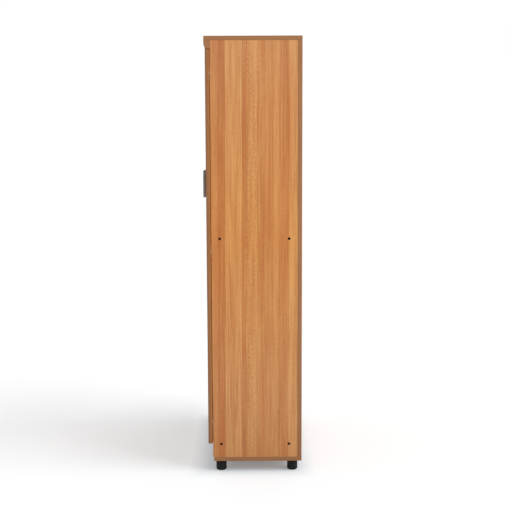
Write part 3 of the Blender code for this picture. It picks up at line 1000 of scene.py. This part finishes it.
JOINING_SCREW = ScrewKind(
    "joining_screw", Drive.HEX, radius=0.0058, height=0.0016, recess=0.0026, depth=0.0014,
    shank=0.0032, length=0.044, seed=11)
BACK_SCREW = ScrewKind(
    "back_screw", Drive.CROSS, radius=0.0042, height=0.0012, recess=0.0024, depth=0.0009,
    shank=0.0022, length=0.014, seed=12)
HANDLE_SCREW = ScrewKind(
    "handle_screw", Drive.CROSS, radius=0.0039, height=0.0022, recess=0.0024, depth=0.0014,
    shank=0.0020, length=0.026, seed=13)
CUP_SCREW = ScrewKind(
    "cup_screw", Drive.CROSS, radius=0.0033, height=0.0011, recess=0.0021, depth=0.0008,
    shank=0.0017, length=0.009, seed=14)
PLATE_SCREW = ScrewKind(
    "plate_screw", Drive.CROSS, radius=0.0035, height=0.0013, recess=0.0022, depth=0.0009,
    shank=0.0018, length=0.009, seed=15)
ARM_SCREW = ScrewKind(
    "arm_screw", Drive.CROSS, radius=0.0031, height=0.0009, recess=0.0020, depth=0.0007,
    shank=0.0018, length=0.005, seed=16)
SHELF_PIN = PinKind(
    "shelf_pin", radius=0.0024, reach=0.0090, buried=0.0085, collar=0.0036, collar_thick=0.0007, seed=5)


@dataclass
class Board:
    """One board, copied from the frame and dressed face by face.

    The shift moves the printed decor across the board, and along_shift times as
    far along it. The lean tilts it. An edge reaches as far as it is broken.
    """

    node: str
    body: str
    face: Axis
    grain: Axis
    banded: tuple[Edge, ...]
    shift: float
    inside: Covering = Covering.CORE
    broken: float = 0.0007
    crease: float = 50.0
    band: EdgeBand = BAND
    lean: float = 0.0
    along_shift: float = 7.0
    face_on: float = 0.95
    skin: float = 1e-5

    def build(self) -> None:
        """Copy the node, mark its coverings and its grain, and mount it."""
        bm = bmesh.new()
        bm.from_mesh(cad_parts[self.node].data)
        bmesh.ops.remove_doubles(bm, verts=bm.verts, dist=WELD)
        low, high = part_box(self.node)
        for face in bm.faces:
            face.material_index = self.covering(face, low, high).value
        across = next(axis for axis in Axis if axis not in (self.face, self.grain))
        layer = bm.verts.layers.float_vector.new(GRAIN)
        half = (high - low)[self.grain.value] / 2
        for vert in bm.verts:
            local = vert.co - low
            along = local[self.grain.value]
            vert[layer] = Vector((
                local[across.value] + self.shift - self.lean * (along - half),
                along + self.along_shift * self.shift,
                local[self.face.value]))
        materials = [finish.material() for finish in (LAMINATE, self.band, CORE)]
        piece = as_piece(bm, f"board_{self.node}", materials, self.crease)
        piece.modifiers.new("even faces", "WEIGHTED_NORMAL").keep_sharp = True
        freeze(piece)
        mount(piece, self.body, (self.node,))

    def covering(self, face: bmesh.types.BMFace, low: Vector, high: Vector) -> Covering:
        """What covers one face of the board.

        Args:
            face: The face.
            low: The board's lowest corner.
            high: The board's highest corner.

        Returns:
            The covering.
        """
        centre = face.calc_center_median()
        axis = self.face.value
        outer = min(centre[axis] - low[axis], high[axis] - centre[axis])
        if abs(face.normal[axis]) > self.face_on and outer < self.skin:
            return Covering.LAMINATE
        for edge in Edge:
            along, way = edge.value
            plane = low[along] if way < 0 else high[along]
            if along != axis and abs(centre[along] - plane) < self.broken:
                return Covering.BAND if edge in self.banded else Covering.CORE
        return self.inside


@dataclass
class Case:
    """The fixed and loose boards of the case."""

    all_round: tuple[Edge, ...] = (Edge.LEFT, Edge.RIGHT, Edge.FRONT, Edge.REAR)
    sides: tuple[Edge, ...] = (Edge.LEFT, Edge.RIGHT)
    front: tuple[Edge, ...] = (Edge.FRONT,)
    cornice_crease: float = 20.0

    def boards(self) -> list[Board]:
        """The boards in order: upright, level, and the two strips.

        Returns:
            The plans of all boards.
        """
        # The axis of the face, the banded edges, their band, the shift and the lean.
        upright = {
            "side_right": (Axis.X, self.front, FRONT_BAND_PAINTED_LIGHT, 0.0, 0.0044),
            "side_left": (Axis.X, self.front, FRONT_BAND_PAINTED_LIGHT, 0.131, -0.0021),
            "back_board": (Axis.Y, self.sides, BAND, 0.052, 0.0012),
            "divider": (Axis.X, self.front, FRONT_BAND_PAINTED_LIGHT, 0.218, 0.0),
        }
        # The banded edges and the shift.
        level = {
            "top_board": (self.all_round, 0.083),
            "bottom_board": (self.all_round, 0.147),
            "bottom_shelf": (self.front, 0.191),
            "mid_shelf": (self.front, 0.026),
            "hat_shelf": (self.front, 0.255),
            "shelf_lower": (self.front, 0.309),
            "shelf_upper": (self.front, 0.112),
        }
        plans = [
            Board(node, CASE, face, Axis.Z, banded, shift, band=band, lean=lean)
            for node, (face, banded, band, shift, lean) in upright.items()
        ]
        plans += [
            Board(node, CASE, Axis.Z, Axis.X, banded, shift)
            for node, (banded, shift) in level.items()
        ]
        plans.append(Board("plinth", CASE, Axis.Y, Axis.X, (), shift=0.064))
        plans.append(Board(
            "cornice", CASE, Axis.Y, Axis.X, self.sides, shift=0.236,
            inside=Covering.LAMINATE, crease=self.cornice_crease))
        return plans

    def build(self) -> None:
        """Dress every board."""
        for plan in self.boards():
            plan.build()


@dataclass
class JoiningScrews:
    """The joining screws in the side panels, set just below the face."""

    sunk: float = 0.0002

    def build(self) -> None:
        """Set the screws out where the frame has them."""
        spots, nodes = [], []
        for node in sorted(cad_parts):
            if node.startswith("screw_"):
                low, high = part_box(node)
                side = 1.0 if high.x > 0 else -1.0
                outer = high.x if side > 0 else low.x
                place = middle(node)
                place.x = outer - side * (JOINING_SCREW.height + self.sunk)
                spots.append((place, Vector((side, 0.0, 0.0))))
                nodes.append(node)
        mount(set_out("joining_screws", JOINING_SCREW, BRONZE, spots), CASE, nodes)


@dataclass
class BackScrews:
    """Screws that hold the back board to the sides, divider and shelves."""

    from_end: float = 0.060
    rows: int = 7
    proud: float = 0.0004
    shelf_shares: Pair = (0.3, 0.7)

    def build(self) -> None:
        """Set the screws out on the rear face."""
        low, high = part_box("back_board")
        y = high.y + self.proud - BACK_SCREW.height
        pitch = (high.z - low.z - 2.0 * self.from_end) / (self.rows - 1)
        spots = []
        for node in ("side_left", "divider", "side_right"):
            for row in range(self.rows):
                spots.append((Vector((middle(node).x, y, low.z + self.from_end + row * pitch)), REARWARD))
        for node in ("bottom_shelf", "mid_shelf", "hat_shelf"):
            left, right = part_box(node)
            for share in self.shelf_shares:
                x = left.x + share * (right.x - left.x)
                spots.append((Vector((x, y, middle(node).z)), REARWARD))
        mount(set_out("back_screws", BACK_SCREW, BRONZE, spots), CASE)


@dataclass
class Feet:
    """The four moulded feet, round with a rolled bottom edge."""

    rounding: float = 0.0065
    roll_steps: int = 8
    groove: float = 0.0006
    groove_down: float = 0.0060
    hollow: float = 0.0008
    hollow_reach: Pair = (0.82, 0.86)
    bevel: Pair = (0.0008, 0.0010)
    clearance: float = 0.0003
    steps: int = 64

    def profile(self, radius: float, height: float) -> list[Pair]:
        """The outline of a foot.

        Args:
            radius: The foot's radius.
            height: Its height up to the board.

        Returns:
            Pairs of radius and height, from the floor up.
        """
        flat = radius - self.rounding
        inner, outer = self.hollow_reach
        bevel_in, bevel_down = self.bevel
        neck = height - self.groove_down
        top = height - self.clearance
        return [
            (0.0, self.hollow),
            (flat * inner, self.hollow),
            (flat * outer, 0.0),
            *((flat + out, up) for out, up in rolled(self.rounding, self.roll_steps)),
            (radius, neck - 2.0 * self.groove),
            (radius - self.groove, neck - self.groove),
            (radius - self.groove, neck),
            (radius, neck + self.groove),
            (radius, height - bevel_down),
            (radius - bevel_in, top),
            (0.0, top),
        ]

    def build(self) -> None:
        """Turn each foot where the frame has it."""
        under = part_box("bottom_board")[0].z
        for row in ("front", "rear"):
            for side in Side:
                node = f"foot_{row}_{side.word}"
                low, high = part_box(node)
                place = middle(node)
                bm = bmesh.new()
                outline = self.profile((high.x - low.x) / 2, under)
                turned(bm, outline, Matrix.Translation((place.x, place.y, 0.0)), self.steps)
                bmesh.ops.recalc_face_normals(bm, faces=bm.faces)
                piece = as_piece(bm, f"moulded_{node}", [BLACK.material()])
                mount(piece, CASE, (node,))


@dataclass
class ShelfPins:
    """The pins under the loose shelves."""

    kind: PinKind = SHELF_PIN

    def build(self) -> None:
        """Set the pins out where the frame has them."""
        spots, nodes = [], []
        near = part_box("divider")[1].x
        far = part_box("side_right")[0].x
        for node in sorted(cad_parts):
            if "_pin_" in node:
                place = middle(node)
                at_divider = place.x < (near + far) / 2
                place.x = near if at_divider else far
                spots.append((place, Vector((1.0 if at_divider else -1.0, 0.0, 0.0))))
                nodes.append(node)
        mount(set_out("shelf_pins", self.kind, ZINC, spots), CASE, nodes)


@dataclass
class Rail:
    """The hanging rail and its two sockets."""

    ends: tuple[str, str] = ("left", "middle")

    def build(self) -> None:
        """Dress the rail and its sockets."""
        dress_node("hanging_rail", CHROME)
        for end in self.ends:
            dress_node(f"rail_socket_{end}", ZINC)


@dataclass
class Hinges:
    """The cup hinges of one door: their finish and their small screws."""

    side: Side
    count: int = 3
    cup_spacing: float = 0.045
    cup_sunk: float = 0.0003
    plate_line: float = 0.037
    plate_face: float = 0.0028
    plate_spacing: float = 0.032
    arm_screws: Pair = (0.026, 0.050)

    def build(self) -> None:
        """Dress the hinges and set their screws out, by body."""
        word = self.side.word
        way = Vector((-float(self.side.value), 0.0, 0.0))
        # The corner of a box that is towards the middle of the wardrobe.
        inward = 0 if self.side is Side.RIGHT else 1
        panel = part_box(f"side_{word}")
        front = panel[0].y
        plate_x = panel[inward].x + way.x * self.plate_face
        cups, plates, arms = [], [], []
        for number in range(1, self.count + 1):
            cup, arm = f"hinge_cup_{word}_{number}", f"hinge_arm_{word}_{number}"
            dress_node(cup, ZINC)
            dress_node(arm, ZINC)
            centre = middle(cup)
            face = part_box(cup)[1].y - self.cup_sunk
            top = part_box(arm)[inward].x
            for end in (0.5, -0.5):
                up = centre.z + end * self.cup_spacing
                cups.append((Vector((centre.x, face, up)), REARWARD))
                up = centre.z + end * self.plate_spacing
                plates.append((Vector((plate_x, front + self.plate_line, up)), way))
            for back in self.arm_screws:
                arms.append((Vector((top, front + back, centre.z)), way))
        groups = ((CUP_SCREW, cups, self.side.door), (PLATE_SCREW, plates, CASE), (ARM_SCREW, arms, CASE))
        for kind, spots, body in groups:
            mount(set_out(f"{kind.name}s_{word}", kind, ZINC, spots), body)


@dataclass
class Handle:
    """A bar handle on two posts, with its screws from inside the door."""

    side: Side
    radius: float = 0.006
    rounding: float = 0.0035
    roll_steps: int = 7
    centres: float = 0.096
    post: float = 0.0048
    # The foot of a post: pairs of radius and distance from the door.
    rosette: Profile = (
        (0.0, 0.0),
        (0.0065, 0.0),
        (0.0068, 0.0003),
        (0.0068, 0.0011),
        (0.0064, 0.0015),
        (0.0054, 0.0017),
        (0.0048, 0.0024),
    )
    steps: int = 48

    def bar(self, half: float) -> list[Pair]:
        """The outline of the bar, from its lower end to its upper end.

        Args:
            half: Half the bar's length.

        Returns:
            Pairs of radius and height.
        """
        flat = self.radius - self.rounding
        end = [(flat + out, half - up) for out, up in rolled(self.rounding, self.roll_steps)]
        return [(0.0, -half)] + [(out, -up) for out, up in end] + end[::-1] + [(0.0, half)]

    def build_bar(self) -> None:
        """Turn the bar and its posts."""
        word = self.side.word
        low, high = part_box(f"handle_{word}")
        centre = (low + high) / 2
        axis_y = low.y + self.radius
        reach = high.y - axis_y
        bm = bmesh.new()
        outline = self.bar((high.z - low.z) / 2)
        turned(bm, outline, Matrix.Translation((centre.x, axis_y, centre.z)), self.steps)
        post = [*self.rosette, (self.post, reach), (0.0, reach)]
        forward = Vector((0.0, 0.0, 1.0)).rotation_difference(-REARWARD).to_matrix().to_4x4()
        for end in (0.5, -0.5):
            foot = Matrix.Translation((centre.x, high.y, centre.z + end * self.centres))
            turned(bm, post, foot @ forward, self.steps)
        bmesh.ops.recalc_face_normals(bm, faces=bm.faces)
        piece = as_piece(bm, f"bar_handle_{word}", [NICKEL.material()])
        mount(piece, self.side.door, (f"handle_{word}",))

    def build_screws(self) -> None:
        """Set the handle's screws out on the rear face of the door."""
        word = self.side.word
        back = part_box(f"door_{word}")[1].y
        nodes = [f"handle_screw_{word}_{end}" for end in ("upper", "lower")]
        spots = [(Vector((middle(node).x, back, middle(node).z)), REARWARD) for node in nodes]
        screws = set_out(f"handle_screws_{word}", HANDLE_SCREW, ZINC, spots)
        mount(screws, self.side.door, nodes)

    def build(self) -> None:
        """Make the whole handle."""
        self.build_bar()
        self.build_screws()


@dataclass
class Door:
    """A door leaf with its handle, hinges and pads."""

    side: Side
    shift: float
    banded: tuple[Edge, ...] = (Edge.LEFT, Edge.RIGHT, Edge.BELOW, Edge.ABOVE)
    rounding: float = 0.0051

    def build(self) -> None:
        """Dress the leaf and everything on it."""
        word = self.side.word
        leaf = Board(
            f"door_{word}", self.side.door, Axis.Y, Axis.Z, self.banded, self.shift,
            broken=self.rounding, band=DOOR_BAND)
        leaf.build()
        Handle(self.side).build()
        Hinges(self.side).build()
        for end in ("upper", "lower"):
            dress_node(f"door_pad_{word}_{end}", CLEAR)


@dataclass
class Studio:
    """The pale floor, the soft light and the camera."""

    ambient: float = 0.80
    sun: float = 2.0
    sun_from: Triple = (0.40, 1.35, 1.00)
    sun_width: float = 45.0
    # The floor's colour under the wardrobe and beside it; its cool tint is painted to cancel the warm
    # light that the wardrobe throws onto it.
    floor_shown: tuple[Colour, Colour] = ((0.550, 0.600, 0.630), (0.486, 0.506, 0.520))
    floor_plain: Colour = (0.497, 0.503, 0.508)
    plain_reach: Pair = (0.15, 0.75)
    # The floor's glow under the wardrobe and beside it; the low glow under it is painted shadow.
    floor_lift: Pair = (0.21, 0.455)
    footprint: Pair = (0.400, 0.205)
    lift_reach: Pair = (-0.02, 0.08)
    # Painted shadow in front of the wardrobe: how deep, and where it starts, where it stops at the side
    # and where it fades out.
    front_painted_shadow: float = 0.058
    painted_shadow_start: Pair = (0.04, 0.12)
    painted_shadow_side: Pair = (0.20, 0.42)
    painted_shadow_end: Pair = (0.45, 1.00)
    floor_sent: Pair = (0.34, 0.86)
    sent_reach: Pair = (0.6, 1.6)
    floor_reach: float = 40.0
    floor_parts: int = 8
    floor_rough: float = 0.9
    shade_reach: Pair = (1.3, 3.2)
    eye: Triple = (4.47294, -0.01058, 1.49498)
    yaw: float = 0.0047
    pitch: float = 0.1259
    roll: float = -0.0039
    focal: float = 950.0
    picture: float = 506.0
    sensor: float = 36.0

    @staticmethod
    def seen(bench: NodeBench) -> Socket:
        """One for rays that show the background itself, in metal and glass too.

        Args:
            bench: The bench of the floor's or the world's tree.

        Returns:
            The socket, 0 or 1.
        """
        rays = bench.add("ShaderNodeLightPath", {})
        kinds = ("Camera", "Glossy", "Transmission")
        return bench.math("MAXIMUM", *(rays[f"Is {kind} Ray"] for kind in kinds))

    def build_world(self) -> None:
        """An even white surround, plain white where it is seen."""
        world = bpy.data.worlds.new("studio")
        world.use_nodes = True
        bench = NodeBench(world.node_tree)
        strength = bench.spread(self.seen(bench), (0.0, 1.0), (self.ambient, 1.0))
        feeds = {"Color": (1.0, 1.0, 1.0, 1.0), "Strength": strength}
        bench.fill(world.node_tree.nodes["Background"], feeds)
        bpy.context.scene.world = world

    def build_floor(self) -> None:
        """A wide pale floor that keeps the shadow and turns white further out, and glows less under the
        wardrobe and in front of it as painted shadow.
        """
        material = bpy.data.materials.new("studio_floor")
        material.use_nodes = True
        nodes = material.node_tree.nodes
        bench = NodeBench(material.node_tree)
        place = bench.place()
        out = bench.add("ShaderNodeVectorMath", {0: place}, operation="LENGTH")["Value"]
        width, depth, _ = bench.parts(place)
        sides = [bench.math("SUBTRACT", bench.math("ABSOLUTE", part), half)
                 for part, half in zip((width, depth), self.footprint)]
        beside = bench.math("MAXIMUM", *sides)
        seen = self.seen(bench)
        shown = bench.blend(bench.spread(beside, self.lift_reach), *self.floor_shown)
        shown = bench.blend(bench.spread(beside, self.plain_reach), shown, self.floor_plain)
        sent = bench.spread(out, self.sent_reach, self.floor_sent)
        shader = nodes["Principled BSDF"]
        bench.fill(shader, {
            "Base Color": bench.blend(seen, sent, shown),
            "Roughness": self.floor_rough,
            "Specular IOR Level": 0.0,
        })
        # The floor glows less under the wardrobe and less again in front of it: painted shadow.
        strength = bench.spread(beside, self.lift_reach, self.floor_lift)
        ahead = bench.math("SUBTRACT", -self.footprint[1], depth)
        painted_shadow = bench.math(
            "MULTIPLY",
            bench.spread(ahead, self.painted_shadow_start, (0.0, self.front_painted_shadow)),
            bench.spread(width, self.painted_shadow_side, (1.0, 0.0)),
            bench.spread(out, self.painted_shadow_end, (1.0, 0.0)),
        )
        strength = bench.math("SUBTRACT", strength, painted_shadow)
        lift = bench.add("ShaderNodeEmission", {"Strength": bench.math("MULTIPLY", seen, strength)})[0]
        lifted = bench.add("ShaderNodeAddShader", {0: shader.outputs[0], 1: lift})[0]
        white = bench.add("ShaderNodeEmission", {})[0]
        far = bench.math("MULTIPLY", bench.spread(out, self.shade_reach), seen)
        mix = bench.add("ShaderNodeMixShader", {0: far, 1: lifted, 2: white})[0]
        bench.fill(nodes["Material Output"], {"Surface": mix})
        bm = bmesh.new()
        parts = self.floor_parts
        bmesh.ops.create_grid(bm, x_segments=parts, y_segments=parts, size=self.floor_reach)
        as_piece(bm, "studio_floor", [material])

    def build_light(self) -> None:
        """One broad soft light, high and to the rear right."""
        lamp = bpy.data.lights.new("soft_key", "SUN")
        lamp.energy = self.sun
        lamp.angle = math.radians(self.sun_width)
        key = linked("soft_key", lamp)
        key.rotation_mode = "QUATERNION"
        key.rotation_quaternion = Vector(self.sun_from).to_track_quat("Z", "Y")

    def build_camera(self) -> None:
        """The camera, square on to the right side and tilted down a little."""
        data = bpy.data.cameras.new("photo_camera")
        data.sensor_width = self.sensor
        data.lens = self.focal / self.picture * self.sensor
        # Right, up and back of a camera that looks along -X, one in each column.
        place = Matrix(((0.0, 0.0, 1.0), (1.0, 0.0, 0.0), (0.0, 1.0, 0.0))).to_4x4()
        for angle, axis in ((-self.yaw, "Y"), (-self.pitch, "X"), (self.roll, "Z")):
            place = place @ Matrix.Rotation(angle, 4, axis)
        camera = linked("photo_camera", data)
        camera.matrix_world = Matrix.Translation(self.eye) @ place
        bpy.context.scene.camera = camera

    def build(self) -> None:
        """Set up the whole studio."""
        bpy.context.scene.view_settings.view_transform = "Standard"
        self.build_world()
        self.build_floor()
        self.build_light()
        self.build_camera()
        LOG.info("studio is set up")


def main() -> None:
    """Dress the wardrobe piece by piece and set up the studio."""
    logging.basicConfig(level=logging.INFO, format="%(name)s: %(message)s")
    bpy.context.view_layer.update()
    Studio().build()
    Case().build()
    JoiningScrews().build()
    BackScrews().build()
    Feet().build()
    ShelfPins().build()
    Rail().build()
    Door(Side.RIGHT, shift=0.017).build()
    Door(Side.LEFT, shift=0.205).build()


if __name__ == "__main__":
    main()
